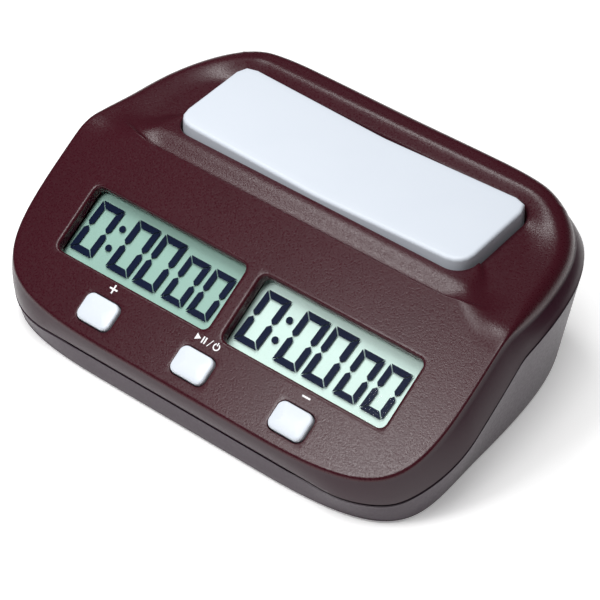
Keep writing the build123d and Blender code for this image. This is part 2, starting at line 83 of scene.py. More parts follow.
def plan_curve(front, start, reach, side, widest, pull_front, pull_back, back_reach, back_start, back):
    """Right half of a plan outline: a straight front, a Bezier corner out to the widest place, and a Bezier in to
    the straight back."""
    corner = bezier(
        np.array([start, front]),
        np.array([start + reach, front]),
        np.array([side, widest - pull_front]),
        np.array([side, widest]),
    )
    flank = bezier(
        np.array([side, widest]),
        np.array([side, widest + pull_back]),
        np.array([back_start + back_reach, back]),
        np.array([back_start, back]),
    )
    return np.vstack([[[0.0, front]], corner, flank[1:], [[0.0, back]]])


RIM = plan_curve(-51.2, 25.6, 41.0, 71.3, -18.0, 27.0, 61.0, 32.7, 29.7, 50.0)
PARTING = plan_curve(-50.8, 47.6, 16.8, 75.0, -22.0, 13.3, 39.3, 27.3, 44.5, 51.5)
BOTTOM = plan_curve(-50.5, 29.0, 47.0, 69.4, -10.6, 25.8, 29.9, 20.3, 46.0, 47.0)
PAN = plan_curve(-3.2, 46.0, 16.0, 66.0, 12.0, 9.0, 18.0, 16.0, 42.0, 43.5)


def at_angle(curve, angle, hub_y=HUB_Y):
    """Point of a mirrored plan curve in the direction angle from the hub."""
    turned = np.arctan2(np.abs(np.cos(angle)), np.sin(angle))  # 0 at the back, pi at the front
    along = np.arctan2(curve[:, 0], curve[:, 1] - hub_y)
    order = np.argsort(along)
    x = np.interp(turned, along[order], curve[order, 0])
    y = np.interp(turned, along[order], curve[order, 1])
    return np.stack([np.sign(np.cos(angle)) * x, y], axis=-1)


def outward(points):
    """Unit plan vectors from the hub to points."""
    away = points - np.array([0.0, HUB_Y])
    return away / np.linalg.norm(away, axis=1, keepdims=True)


def smooth(value, low, high):
    """0 below low, 1 above high, and a cubic S between them."""
    t = np.clip((value - low) / (high - low), 0.0, 1.0)
    return t * t * (3 - 2 * t)


def soft_min(a, b, blend):
    """The smaller of a and b, with the change from one to the other rounded over blend."""
    h = np.clip(blend - np.abs(a - b), 0.0, None) / blend
    return np.minimum(a, b) - h * h * blend / 4


def face_height(y):
    """Height of the plain sloping face: a straight line in y."""
    return FACE_FRONT_Z + (y - FACE_FRONT_Y) * math.tan(FACE_SLOPE)


def shoulder_height(x, y, sizes):
    """The top without its pan: the sloping face, which turns over softly at both sides to a level shoulder."""
    side = smooth(np.abs(x), 46.0, 66.0)
    return soft_min(face_height(y), sizes.shoulder + 3.5 * (1 - side), 0.05 + 2.4 * side)


def top_height(x, y, sizes):
    """Height of the case's top. Inside the pan's outline the shoulder falls to a flat floor; along the front it
    leaves a crease, falls into a hollow and comes up again beside the lever. Each is a function of the distance
    from the outline."""
    shape = x.shape
    x, y = x.ravel(), y.ravel()
    half = PAN[(np.arange(len(PAN)) % 3 == 0) | (PAN[:, 0] == 0)]
    start, step = half[:-1], np.diff(half, axis=0)
    rel = np.stack([np.abs(x), y], axis=1)[:, None, :] - start
    t = np.clip((rel * step).sum(2) / (step**2).sum(1), 0.0, 1.0)
    gap = rel - t[:, :, None] * step
    far = np.hypot(gap[:, :, 0], gap[:, :, 1])
    near = np.argmin(far, axis=1)
    rows = np.arange(len(x))
    foot = start[near] + t[rows, near][:, None] * step[near]
    inside = np.hypot(x, y - 20.0) < np.hypot(foot[:, 0], foot[:, 1] - 20.0)
    depth = np.where(inside, far[rows, near], 0.0)
    rim = shoulder_height(foot[:, 0], foot[:, 1], sizes)
    front = (1 - smooth(foot[:, 0], 47.0, 65.0)) * (foot[:, 1] < 12.0)
    dip = sizes.dip * smooth(depth, 0.0, 1.5) - sizes.rise * smooth(depth, 1.2, 8.0)
    wall = (rim - sizes.pan_floor) * smooth(depth, 0.0, 8.5)
    height = np.where(depth > 0, rim - front * dip - (1 - front) * wall, shoulder_height(x, y, sizes))
    return height.reshape(shape)


# ---------------------------------------------------------------- meshes


def lines(breaks, step):
    """Sorted grid lines that hit every break and lie no more than step apart."""
    parts = [
        np.linspace(a, b, max(1, int(math.ceil((b - a) / step))) + 1)[:-1] for a, b in zip(breaks[:-1], breaks[1:])
    ]
    return np.concatenate(parts + [[breaks[-1]]])


HOLE_TAG = 100


def panel(xs, ys, place, holes=(), outer=()):
    """A grid over xs by ys, with place(x, y) giving its points. Each hole is (x0, x1, y0, y1, rings): its cells are
    left out and closed loops from rings(loop points) fill it. outer(loop points) gives loops that go on outwards.
    Returns vertices, quads, and each quad's ring number: -1 on the grid, 0 and up outwards, HOLE_TAG and up in
    holes."""
    gx, gy = np.meshgrid(xs, ys, indexing="ij")
    points = place(gx, gy)
    nx, ny = gx.shape
    index = np.arange(nx * ny).reshape(nx, ny)
    keep = np.ones((nx - 1, ny - 1), bool)
    verts, quads, tags = [points.reshape(-1, 3)], [], []
    count = nx * ny

    def loop(i0, i1, j0, j1):
        return np.concatenate([index[i0:i1, j0], index[i1, j0:j1], index[i1:i0:-1, j1], index[i0, j1:j0:-1]])

    def stack(first, rings, tag, inward):
        nonlocal count
        last = first
        for number, ring in enumerate(rings):
            ids = count + np.arange(len(ring))
            count += len(ring)
            verts.append(ring)
            a, b = (last, ids) if inward else (ids, last)
            quads.append(np.stack([a, np.roll(a, -1), np.roll(b, -1), b], axis=1))
            tags.append(np.full(len(ids), tag + number))
            last = ids

    def find(line, value):
        return int(np.argmin(np.abs(line - value)))

    for x0, x1, y0, y1, rings in holes:
        i0, i1, j0, j1 = find(xs, x0), find(xs, x1), find(ys, y0), find(ys, y1)
        keep[i0:i1, j0:j1] = False
        first = loop(i0, i1, j0, j1)
        stack(first, rings(points.reshape(-1, 3)[first]), HOLE_TAG, True)
    if outer:
        first = loop(0, nx - 1, 0, ny - 1)
        stack(first, outer(points.reshape(-1, 3)[first]), 0, False)
    grid = np.stack([index[:-1, :-1], index[1:, :-1], index[1:, 1:], index[:-1, 1:]], axis=-1)[keep]
    quads.insert(0, grid)
    tags.insert(0, np.full(len(grid), -1))
    return np.vstack(verts), np.vstack(quads), np.concatenate(tags)


def loft(rings, cap_first=True, cap_last=True):
    """A closed skin over equal rings of points. A cap closes a ring on its own middle."""
    count, size = len(rings), len(rings[0])
    index = np.arange(count * size).reshape(count, size)
    a, b = index[:-1], index[1:]
    quads = np.stack([a, np.roll(a, -1, 1), np.roll(b, -1, 1), b], axis=-1).reshape(-1, 4)
    verts = np.vstack(rings)
    fans = []
    for wanted, ring, flip in ((cap_first, 0, True), (cap_last, count - 1, False)):
        if wanted:
            middle = len(verts)
            verts = np.vstack([verts, rings[ring].mean(0)])
            one, two = index[ring], np.roll(index[ring], -1)
            hub = np.full(size, middle)
            fans.append(np.stack([two, one, hub] if flip else [one, two, hub], axis=1))
    return verts, [quads] + fans


def make_piece(name, verts, faces, materials, body, replaces=(), face_materials=None, sharp_deg=None):
    """Puts points in millimetres and faces into a smooth-shaded mesh that rides on a body."""
    lists = faces if isinstance(faces, list) else [faces]
    mesh = bpy.data.meshes.new(name)
    mesh.from_pydata((verts * MM).tolist(), [], [f for part in lists for f in part.tolist()])
    for material in materials:
        mesh.materials.append(material)
    mesh.polygons.foreach_set("use_smooth", np.ones(len(mesh.polygons), bool))
    if face_materials is not None:
        mesh.polygons.foreach_set("material_index", face_materials.astype(np.int32))
    mesh.update()
    if sharp_deg:
        mesh.set_sharp_from_angle(angle=math.radians(sharp_deg))
    piece = bpy.data.objects.new(name, mesh)
    bpy.context.scene.collection.objects.link(piece)
    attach(piece, body)
    if replaces:
        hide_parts(*replaces)
    return piece


def face_point(x, v, depth):
    """Point of the sloping face at x across and v up the slope, depth below it."""
    x, v, depth = np.broadcast_arrays(x, v, depth)
    base = np.stack([x, np.full(x.shape, FACE_FRONT_Y), np.full(x.shape, FACE_FRONT_Z)], axis=-1)
    return base + v[..., None] * UP_SLOPE - depth[..., None] * FACE_OUT


def up_slope(points):
    """How far up the slope points of the face lie."""
    return (points[:, 1] - FACE_FRONT_Y) / math.cos(FACE_SLOPE)


def round_box(px, pv, middle, half_x, half_v, radius, offset):
    """Rounded rectangle, grown by offset, at the place nearest to each point around it."""
    cx = np.clip(px - middle[0], -(half_x - radius), half_x - radius)
    cv = np.clip(pv - middle[1], -(half_v - radius), half_v - radius)
    dx, dv = px - middle[0] - cx, pv - middle[1] - cv
    size = np.maximum(np.hypot(dx, dv), 1e-6)
    reach = radius + offset
    return middle[0] + cx + dx / size * reach, middle[1] + cv + dv / size * reach


def face_hole(middle, half_x, half_v, radius, edge, deep, steps=5):
    """Rings of an opening in the face: a rounded edge of size edge, then straight down to deep."""

    def rings(loop):
        px, pv = loop[:, 0], up_slope(loop)
        out = []
        for angle in np.linspace(0.0, math.pi / 2, steps):
            x, v = round_box(px, pv, middle, half_x, half_v, radius, edge * (1 - math.sin(angle)))
            out.append(face_point(x, v, np.full(x.shape, edge * (1 - math.cos(angle)))))
        for depth in np.linspace(edge, deep, 4)[1:]:
            out.append(face_point(x, v, np.full(x.shape, depth)))
        return out

    return rings


# ---------------------------------------------------------------- materials


def linear(code):
    """sRGB hex to linear colour."""
    parts = [int(code[i : i + 2], 16) / 255 for i in (0, 2, 4)]
    return tuple(p / 12.92 if p <= 0.04045 else ((p + 0.055) / 1.055) ** 2.4 for p in parts)


def add_node(tree, kind, links=None, inputs=None, **settings):
    """Adds a node, sets its properties and inputs, and links sockets into it."""
    node = tree.nodes.new(kind)
    for key, value in settings.items():
        setattr(node, key, value)
    for key, value in (inputs or {}).items():
        node.inputs[key].default_value = value
    for key, socket in (links or {}).items():
        tree.links.new(socket, node.inputs[key])
    return node


def new_material(name):
    """A material with only a Principled shader on its output."""
    material = bpy.data.materials.new(name)
    material.use_nodes = True
    tree = material.node_tree
    tree.nodes.clear()
    shader = add_node(tree, "ShaderNodeBsdfPrincipled")
    add_node(tree, "ShaderNodeOutputMaterial", {"Surface": shader.outputs["BSDF"]})
    return material, tree, shader


def moulded(name, dark, light, roughness, grain_mm, bump_mm, clouds_mm=18.0, specular=0.5, rough_spread=0.05):
    """Injection-moulded plastic: a colour that drifts a little over centimetres, and a grain whose size is the
    tool's spark-eroded or polished texture."""
    material, tree, shader = new_material(name)
    where = add_node(tree, "ShaderNodeTexCoord").outputs["Object"]
    clouds = add_node(tree, "ShaderNodeTexNoise", {"Vector": where}, {"Scale": 1 / (clouds_mm * MM), "Detail": 3.0})
    grain = add_node(tree, "ShaderNodeTexNoise", {"Vector": where}, {"Scale": 1 / (grain_mm * MM), "Detail": 2.0})
    mix = add_node(tree, "ShaderNodeMix", {"Factor": clouds.outputs["Fac"]}, data_type="RGBA")
    mix.inputs["A"].default_value = (*linear(dark), 1)
    mix.inputs["B"].default_value = (*linear(light), 1)
    rough = add_node(
        tree,
        "ShaderNodeMapRange",
        {"Value": grain.outputs["Fac"]},
        {"From Min": 0.3, "From Max": 0.7, "To Min": roughness - rough_spread, "To Max": roughness + rough_spread},
    )
    bump = add_node(
        tree, "ShaderNodeBump", {"Height": grain.outputs["Fac"]}, {"Strength": 1.0, "Distance": bump_mm * MM}
    )
    tree.links.new(mix.outputs["Result"], shader.inputs["Base Color"])
    tree.links.new(rough.outputs["Result"], shader.inputs["Roughness"])
    tree.links.new(bump.outputs["Normal"], shader.inputs["Normal"])
    shader.inputs["IOR"].default_value = 1.53
    shader.inputs["Specular IOR Level"].default_value = specular
    return material


def metal(name, colour, roughness, brush_mm=0.4):
    """Bright metal with fine drawn lines."""
    material, tree, shader = new_material(name)
    where = add_node(tree, "ShaderNodeTexCoord").outputs["Object"]
    noise = add_node(tree, "ShaderNodeTexNoise", {"Vector": where}, {"Scale": 1 / (brush_mm * MM), "Detail": 4.0})
    rough = add_node(
        tree,
        "ShaderNodeMapRange",
        {"Value": noise.outputs["Fac"]},
        {"To Min": roughness - 0.08, "To Max": roughness + 0.08},
    )
    tree.links.new(rough.outputs["Result"], shader.inputs["Roughness"])
    shader.inputs["Base Color"].default_value = (*linear(colour), 1)
    shader.inputs["Metallic"].default_value = 1.0
    return material


def clear_plastic(name):
    """Polished clear acrylic. It is drawn as a sheet that lets nearly all light straight through, and its
    reflection is kept weaker than acrylic's own so that the digits stay dark."""
    material, tree, shader = new_material(name)
    tree.nodes.clear()
    gloss = add_node(tree, "ShaderNodeBsdfGlossy", inputs={"Roughness": 0.05})
    through = add_node(tree, "ShaderNodeBsdfTransparent")
    fresnel = add_node(tree, "ShaderNodeFresnel", inputs={"IOR": 1.05})
    mix = add_node(
        tree,
        "ShaderNodeMixShader",
        {0: fresnel.outputs["Fac"], 1: through.outputs["BSDF"], 2: gloss.outputs["BSDF"]},
    )
    add_node(tree, "ShaderNodeOutputMaterial", {"Surface": mix.outputs["Shader"]})
    return material


MATERIALS = {}


def make_materials():
    """All finishes, by the name of the record's slot or of the piece they belong to."""
    MATERIALS.update(
        # spark-eroded ABS: a dull maroon skin that sparkles where a light's reflection lies. Real pits are too
        # fine to show, so they are drawn at 0.5 mm
        case_top=moulded(
            "spark_eroded_maroon_abs", "350a15", "3c0d19", 0.31, 0.5, 0.045, specular=0.35, rough_spread=0.07
        ),
        # the same ABS from a polished band of the tool: smoother, with a greyer colour than the top's that is a
        # painted sheen
        case_band=moulded("satin_maroon_abs_band_painted_sheen", "2c0f1c", "311220", 0.34, 0.8, 0.004, specular=0.4),
        # satin plum ABS, which looks grey where it reflects the table
        case_base=moulded("satin_plum_abs", "34232f", "392735", 0.42, 0.8, 0.004),
        # pale blue-grey ABS with a satin face: soft highlights and no visible grain
        lever=moulded("satin_pale_grey_abs", "d4dbe5", "d8dfe8", 0.45, 0.7, 0.003),
        button=moulded("satin_pale_grey_abs_caps", "d6dde6", "dae1e9", 0.4, 0.7, 0.003),
        # the reflector behind the liquid crystal: an even, matt green-grey; the left one is painted darker as
        # painted shade and the right one paler as painted light
        lcd_left=moulded("lcd_reflector_green_grey_painted_shade", "8fb4a8", "93b8ac", 0.5, 0.5, 0.002),
        lcd_right=moulded("lcd_reflector_green_grey_painted_light", "cae5dc", "cee8e0", 0.5, 0.5, 0.002),
        # lit segments: near-black navy with hardly any gloss
        ink=moulded("liquid_crystal_navy", "03102c", "051330", 0.5, 0.5, 0.001, specular=0.1),
        # pad-printed ink: a flat, slightly rough white
        print=moulded("white_pad_print", "e9e9ec", "f1f1f3", 0.5, 0.4, 0.004),
        # inner parts: dull black mouldings, rubbers, a lacquered board and a printed sleeve
        holder=moulded("black_moulded_frame", "0c0b0d", "121114", 0.5, 0.5, 0.01),
        silicone=moulded("grey_silicone_rubber", "8e949a", "9aa0a6", 0.55, 0.5, 0.006),
        strip=moulded("zebra_elastomer", "3e4045", "5a5d62", 0.6, 0.4, 0.004),
        board=moulded("green_solder_mask_board", "16452a", "1f5a36", 0.35, 1.2, 0.01),
        chip=moulded("black_moulded_epoxy", "101012", "161618", 0.55, 0.3, 0.01),
        cell=moulded("printed_battery_sleeve", "70733a", "8a8d45", 0.35, 0.6, 0.002),
        foot=moulded("black_rubber_foot", "161617", "202022", 0.8, 0.4, 0.02),
        # bright metals with fine lines from drawing and plating
        steel=metal("zinc_plated_steel", "b9bcc0", 0.3),
        contact=metal("nickel_plated_spring_steel", "c8cacc", 0.25),
        lens=clear_plastic("clear_acrylic_window"),
    )


# ---------------------------------------------------------------- pieces


def parting_height(y):
    """Height of the joint between the shells: level at the front, a straight rise, level at the back."""
    rise = 8.3 + (y + 43.5) * (33.6 - 8.3) / 42.0
    return -soft_min(-soft_min(rise, 33.6, 1.6), -8.3, 1.6)


def rim_drop(y):
    """How far the rounded rim falls: a small edge at the front that grows towards the back."""
    return 0.8 + 3.3 * smooth(y, -8.0, 16.0)


def case_rings(sizes):
    """Loops that carry the top on from its grid: outwards over the rounded rim, down the band to the joint, and
    in."""

    def rings(loop):
        angle = np.arctan2(loop[:, 1] - HUB_Y, loop[:, 0])
        rim = at_angle(RIM, angle)
        low = at_angle(PARTING, angle)
        inward = loop[:, :2] - rim
        far = np.linalg.norm(inward, axis=1, keepdims=True)
        inward = inward / far
        drop = rim_drop(rim[:, 1])
        start = rim + inward * np.minimum(drop[:, None], far * 0.7)
        out = []
        for t in np.linspace(0.0, 1.0, 9)[1:]:
            flat = loop[:, :2] * (1 - t) + start * t
            out.append(np.column_stack([flat, top_height(flat[:, 0], flat[:, 1], sizes)]))
        for turn in np.linspace(0.0, math.pi / 2, 9)[1:]:
            flat = start + (rim - start) * math.sin(turn)
            fall = drop * (1 - math.cos(turn))
            out.append(np.column_stack([flat, top_height(flat[:, 0], flat[:, 1], sizes) - fall]))
        top = out[-1]
        foot = np.column_stack([low, parting_height(low[:, 1])])
        out_dir = outward(low)
        for t in np.linspace(0.0, 1.0, 8)[1:]:
            row = top * (1 - t) + foot * t
            row[:, :2] += out_dir * (0.35 * 4 * t * (1 - t))
            out.append(row)
        out[-1][:, 2] += 0.15
        row = foot.copy()
        row[:, :2] -= out_dir * 0.25
        out.append(row)
        row = row.copy()
        row[:, :2] -= out_dir * 1.4
        out.append(row)
        return out

    return rings


BAND_FROM = 16  # ring number where the rounded rim ends and the smooth band begins


def build_case_top(sizes):
    """The top shell's skin: one height over the plan, with rings for its openings, its rim and its band."""
    window_half = (sizes.window_width / MM / 2, sizes.window_height / MM / 2)
    cos = math.cos(FACE_SLOPE)

    def moat(x, v, half_x, half_v, margin, rings):
        y = FACE_FRONT_Y + v * cos
        reach_y = (half_v + margin) * cos
        return (x - half_x - margin, x + half_x + margin, y - reach_y, y + reach_y, rings)

    holes = []
    for side in (-1, 1):
        middle = (side * WINDOW_X, WINDOW_V)
        holes.append(moat(*middle, *window_half, 1.3, face_hole(middle, *window_half, 2.0, 0.9, 3.3)))
    for side in (-1, 0, 1):
        middle = (side * BUTTON_SPACING, BUTTON_V)
        holes.append(moat(*middle, 5.85, 4.4, 1.0, face_hole(middle, 5.85, 4.4, 2.3, 0.25, 3.0)))
    well_half = (49.4, 16.3)

    def well(loop):
        out = []
        radius = np.where(loop[:, 1] < LEVER_MIDDLE[1], 6.2, 4.7)
        for turn in np.linspace(0.0, math.pi / 2, 5):
            grow = 0.5 * (1 - math.sin(turn))
            x, y = round_box(loop[:, 0], loop[:, 1], LEVER_MIDDLE, *well_half, radius, grow)
            out.append(np.column_stack([x, y, top_height(x, y, sizes) - 0.5 * (1 - math.cos(turn))]))
        for height in (38.0, 35.0, 32.7):
            out.append(np.column_stack([x, y, np.full(x.shape, height)]))
        floor_x = LEVER_MIDDLE[0] + (x - LEVER_MIDDLE[0]) * 0.9
        floor_y = LEVER_MIDDLE[1] + (y - LEVER_MIDDLE[1]) * 0.8
        out.append(np.column_stack([floor_x, floor_y, np.full(x.shape, 32.6)]))
        return out

    well_front, well_back = LEVER_MIDDLE[1] - well_half[1] - 1.2, LEVER_MIDDLE[1] + well_half[1] + 1.2
    holes.append((-well_half[0] - 1.4, well_half[0] + 1.4, well_front, well_back, well))
    x_breaks = sorted({round(v, 4) for h in holes for v in h[:2]} | {-59.0, 59.0, 0.0})
    y_breaks = sorted({round(v, 4) for h in holes for v in h[2:4]} | {-49.5, 42.0, -4.4, -3.2, -0.8})
    xs = lines(x_breaks, 0.9)
    ys = np.unique(np.concatenate([lines(y_breaks, 0.9), np.linspace(-4.4, -0.8, 19)]))

    def place(gx, gy):
        ax = np.abs(gx)
        front = 0.3 + 0.7 * smooth(gy, -49.5, -39.3)
        back = 1.0 - 0.85 * smooth(gy, 33.0, 42.0)
        wide = np.where(ax > 40.0, 40.0 + (ax - 40.0) * front, ax)
        wide = np.where(wide > 51.0, 51.0 + (wide - 51.0) * back, wide)
        bend = 0.006 * np.clip(ax - 46.0, 0.0, None) ** 2
        y = gy + bend * np.clip(1 - np.abs(gy + 3.2) / 9.0, 0.0, 1.0)
        x = np.sign(gx) * wide
        return np.stack([x, y, top_height(x, y, sizes)], axis=-1)

    verts, quads, tags = panel(xs, ys, place, holes, case_rings(sizes))
    band = (tags >= BAND_FROM) & (tags < HOLE_TAG)
    finishes = [MATERIALS["case_top"], MATERIALS["case_band"]]
    return make_piece(
        "case_top", verts, quads, finishes, "case", ["top_shell"], band.astype(int), sharp_deg=50
    )


def slot_angles():
    """Directions of the two ends of the door's slot in the back wall."""
    reach = BOTTOM[-1, 1] - HUB_Y
    return np.array([math.atan2(reach, DOOR_SLOT_HALF), math.atan2(reach, -DOOR_SLOT_HALF)])


def build_base_side():
    """The base's outer wall: a rounded foot, then a surface ruled between the bottom outline and the joint. The
    slot for the door is left open."""
    angle = np.unique(np.concatenate([np.linspace(0, 2 * math.pi, 481)[:-1], slot_angles()]))
    low = at_angle(BOTTOM, angle)
    high = at_angle(PARTING, angle)
    out_dir = outward(high)
    joint = parting_height(high[:, 1]) - SHELL_GAP
    rows = [np.column_stack([low - out_dir * inset, np.full(len(low), BASE_FOOT_Z)]) for inset in (2.6, 1.0)]
    for turn in np.linspace(0.2, math.pi / 2, 5):
        height = np.full(len(low), 1.0 + (1 - math.cos(turn)))
        rows.append(np.column_stack([low - out_dir * (1 - math.sin(turn)), height]))
    foot_rows = len(rows)
    bottom = rows[-1]
    top = np.column_stack([high, joint])
    first = np.clip((DOOR_TOP - 2.0) / (joint - 2.0), 0.05, 0.5)
    for step in np.linspace(0.0, 1.0, 9):
        t = (first + (1 - first) * step)[:, None]
        rows.append(bottom * (1 - t) + top * t)
    rows[-1][:, 2] -= 0.2
    rows.append(np.column_stack([high - out_dir * 0.25, joint]))
    rows.append(np.column_stack([high - out_dir * 2.4, joint]))
    count, size = len(rows), len(angle)
    index = np.arange(count * size).reshape(count, size)
    quads = np.stack([index[:-1], np.roll(index[:-1], -1, 1), np.roll(index[1:], -1, 1), index[1:]], axis=-1)
    middle = (angle + np.roll(angle, -1)) / 2
    gone = (np.abs(at_angle(BOTTOM, middle)[:, 0]) < DOOR_SLOT_HALF) & (np.sin(middle) > 0.5)
    keep = np.ones(quads.shape[:2], bool)
    keep[:foot_rows, gone] = False
    finishes = [MATERIALS["case_base"]]
    return make_piece("base_side", np.vstack(rows), quads[keep], finishes, "case", sharp_deg=50)


def build_lever():
    """The see-saw lever's cap: a shallow V whose edges are rounded and whose sides open a little downwards."""
    half, mid = (48.7, 15.6), LEVER_MIDDLE
    inner = 3.3
    low_edge = 36.8

    def top(x):
        return 43.0 + 2.0 * (np.sqrt(x * x + 1.2**2) - 1.2) / half[0] * 1.02

    def place(gx, gy):
        return np.stack([gx, gy, top(gx)], axis=-1)

    def outer(loop):
        radius = np.where(loop[:, 1] < mid[1], 5.5, 4.0)
        out = []
        for turn in np.linspace(0.0, math.pi / 2, 8):
            x, y = round_box(loop[:, 0], loop[:, 1], mid, *half, radius, -1.1 * (1 - math.sin(turn)))
            out.append(np.column_stack([x, y, top(x) - 1.1 * (1 - math.cos(turn))]))
        for t in (0.25, 0.5, 0.75, 1.0):
            x, y = round_box(loop[:, 0], loop[:, 1], mid, *half, radius, 0.25 * t)
            out.append(np.column_stack([x, y, (top(x) - 1.1) * (1 - t) + low_edge * t]))
        x, y = round_box(loop[:, 0], loop[:, 1], mid, *half, radius, -1.8)
        out.append(np.column_stack([x, y, np.full(x.shape, low_edge)]))
        out.append(np.column_stack([x, y, top(x) - 2.2]))
        out.append(np.column_stack([x * 0.02, mid[1] + (y - mid[1]) * 0.02, np.full(x.shape, 41.0)]))
        return out

    xs = lines([-half[0] + inner, 0.0, half[0] - inner], 1.2)
    ys = lines([mid[1] - half[1] + inner, mid[1] + half[1] - inner], 1.2)
    verts, quads, _ = panel(xs, ys, place, (), outer)
    finishes = [MATERIALS["lever"]]
    return make_piece("lever_cap", verts, quads, finishes, "lever", ["lever"], sharp_deg=60)


def box_loop(middle, half_x, half_v, radius, per_corner=9):
    """Anticlockwise points of a rounded rectangle in (x, v)."""
    turn = np.linspace(0.0, math.pi / 2, per_corner)
    corners = [(1, 1, 0), (-1, 1, 1), (-1, -1, 2), (1, -1, 3)]
    parts = []
    for sx, sv, quarter in corners:
        a = turn + quarter * math.pi / 2
        x = middle[0] + sx * (half_x - radius) + radius * np.cos(a)
        v = middle[1] + sv * (half_v - radius) + radius * np.sin(a)
        parts.append(np.column_stack([x, v]))
    return np.vstack(parts)


def build_buttons(sizes):
    """Three pillow-topped caps: rounded rectangles that shrink up over a rounded edge and a shallow crown."""
    half_x, half_v, radius, edge = 5.55, 4.1, 2.15, 0.75
    for x, name in ((-BUTTON_SPACING, "plus"), (0.0, "play"), (BUTTON_SPACING, "minus")):
        middle = (x, BUTTON_V)
        profile = [(0.0, 2.9), (0.0, 1.0), (0.0, 0.0), (0.0, -0.35)]
        profile += [(edge * (1 - math.cos(a)), -0.35 - edge * math.sin(a)) for a in np.linspace(0.0, 1.25, 7)[1:]]
        last_in, last_depth = profile[-1]
        profile += [
            (last_in + (3.9 - last_in) * t, last_depth - sizes.crown * (1 - (1 - t) ** 2))
            for t in np.linspace(0.0, 1.0, 9)[1:]
        ]
        rings = []
        for inset, depth in profile:
            r = max(radius - inset * 0.75, 0.08)
            loop = box_loop(middle, max(half_x - inset, 0.1), max(half_v - inset, 0.1), r)
            rings.append(face_point(loop[:, 0], loop[:, 1], np.full(len(loop), depth)))
        verts, faces = loft(rings)
        body = f"button_{name}"
        make_piece(f"cap_{name}", verts, faces, [MATERIALS["button"]], body, [body], sharp_deg=70)


def flat_shapes(name, shapes, depth, thickness, material, replaces=()):
    """Thin raised shapes on or under the face; each shape is an outline in (x, v), drawn as a low prism."""
    verts, faces, count = [], [], 0
    for outline in shapes:
        outline = np.asarray(outline, float)
        area = np.sum(outline[:, 0] * np.roll(outline[:, 1], -1) - np.roll(outline[:, 0], -1) * outline[:, 1])
        if area < 0:
            outline = outline[::-1]
        n = len(outline)
        bottom = face_point(outline[:, 0], outline[:, 1], np.full(n, depth))
        top = face_point(outline[:, 0], outline[:, 1], np.full(n, depth - thickness))
        verts += [bottom, top]
        low, high = count + np.arange(n), count + n + np.arange(n)
        faces.append(np.stack([low, np.roll(low, -1), np.roll(high, -1), high], axis=1))
        faces.append(high[None, :])
        faces.append(low[::-1][None, :])
        count += 2 * n
    return make_piece(name, np.vstack(verts), faces, [material], "case", replaces, sharp_deg=30)


def digit_shapes(corner, width, height, lean, stroke, gap=0.21):
    """Six lit segments of a nought. Corners are mitred, and the uprights are pointed where they meet halfway."""
    h = stroke / 2
    x0, v0 = corner

    def at(s, r):
        return (x0 + s + lean * r, v0 + r)

    g = gap
    half = height / 2
    top = [
        at(-h + g, height + h),
        at(width + h - g, height + h),
        at(width - h - g, height - h),
        at(h + g, height - h),
    ]
    bottom = [at(-h + g, -h), at(h + g, h), at(width - h - g, h), at(width + h - g, -h)]
    shapes = [top, bottom]
    for s, side in ((0.0, -1), (width, 1)):
        outer, inner = s + side * h, s - side * h
        upper = [at(inner, half + h + g / 2), at(s, half + g / 2), at(outer, half + h + g / 2)]
        lower = [at(inner, half - h - g / 2), at(s, half - g / 2), at(outer, half - h - g / 2)]
        shapes.append([at(outer, height + h - g), at(inner, height - h - g)] + upper)
        shapes.append([at(outer, -h + g), at(inner, h + g)] + lower)
    return shapes


def disc(middle, radius, count=28):
    """Points of a circle."""
    a = np.linspace(0, 2 * math.pi, count, endpoint=False)
    return np.column_stack([middle[0] + radius * np.cos(a), middle[1] + radius * np.sin(a)])


def build_displays():
    """Both displays: a pale reflector, with the lit segments standing off it by the glass's thickness."""
    tall, tall_stroke, short, short_stroke = (6.1, 14.1), 1.95, (5.5, 12.4), 1.8
    lean = 1.0 / tall[1]
    foot_v = 21.5
    for side, shift, name in ((-1, 0.0, "left"), (1, 58.3, "right")):
        middle = (side * WINDOW_X, WINDOW_V)
        slot = f"lcd_{name}"
        sheet = box_loop(middle, 27.4, 12.2, 0.3, 3)
        flat_shapes(f"reflector_{name}", [sheet], 5.9, 0.35, MATERIALS[slot], [slot])
        shapes = []
        for x in (-54.35, -41.25, -31.75):
            shapes += digit_shapes((x + shift, foot_v), *tall, lean, tall_stroke)
        for x in (-21.6, -12.75):
            shapes += digit_shapes((x + shift, foot_v), *short, lean, short_stroke)
        shapes += [disc((-44.1 + shift, 31.9), 1.0), disc((-44.55 + shift, 25.5), 1.0)]
        flat_shapes(f"segments_{name}", shapes, 4.9, 0.04, MATERIALS["ink"])


def bar(x, v, half_x, half_v, lean=0.0):
    """A four-cornered bar about (x, v), which may lean."""
    return [
        (x - half_x - lean, v - half_v),
        (x + half_x - lean, v - half_v),
        (x + half_x + lean, v + half_v),
        (x - half_x + lean, v + half_v),
    ]


def arc_band(middle, radius, width, start, stop, count=26):
    """Outer and inner points of an open ring, from start to stop degrees."""
    a = np.radians(np.linspace(start, stop, count))
    far, near = radius + width / 2, radius - width / 2
    outer = np.column_stack([middle[0] + far * np.cos(a), middle[1] + far * np.sin(a)])
    inner = np.column_stack([middle[0] + near * np.cos(a), middle[1] + near * np.sin(a)])
    return outer, inner


